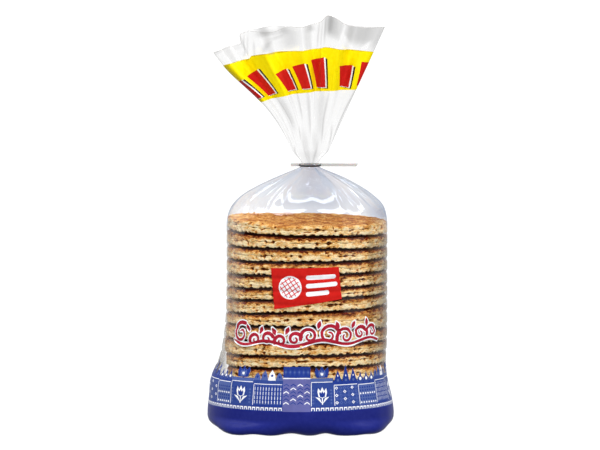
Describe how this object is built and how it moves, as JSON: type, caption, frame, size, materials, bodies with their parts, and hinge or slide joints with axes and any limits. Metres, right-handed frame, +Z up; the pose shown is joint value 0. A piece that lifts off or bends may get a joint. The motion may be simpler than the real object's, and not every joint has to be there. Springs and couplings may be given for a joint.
{
  "type": "bag of stroopwafels",
  "caption": "Upright clear film bag of round syrup waffles in one stack, with a printed foot, a gathered and tied neck and a fanned mouth.",
  "frame": {"origin": "where the axis of the waffle stack meets the floor, in the flat base of the bag", "axes": "+X to the right across the printed front, -Y towards the viewer, +Z up along the stack to the fanned mouth"},
  "size_m": [0.1118, 0.1038, 0.2483],
  "materials": {
    "bag": "gloss",
    "tie_plastic": "satin",
    "tie_wire": "satin",
    "clear_film": "gloss",
    "print_blue": "gloss",
    "print_yellow": "gloss",
    "print_red": "gloss",
    "print_white": "gloss",
    "waffle": "matte",
    "syrup": "satin"
  },
  "bodies": {
    "root": {"bag": "bag", "tie_strip": "tie_plastic", "tie_wire": "tie_wire"}
  },
  "joints": []
}
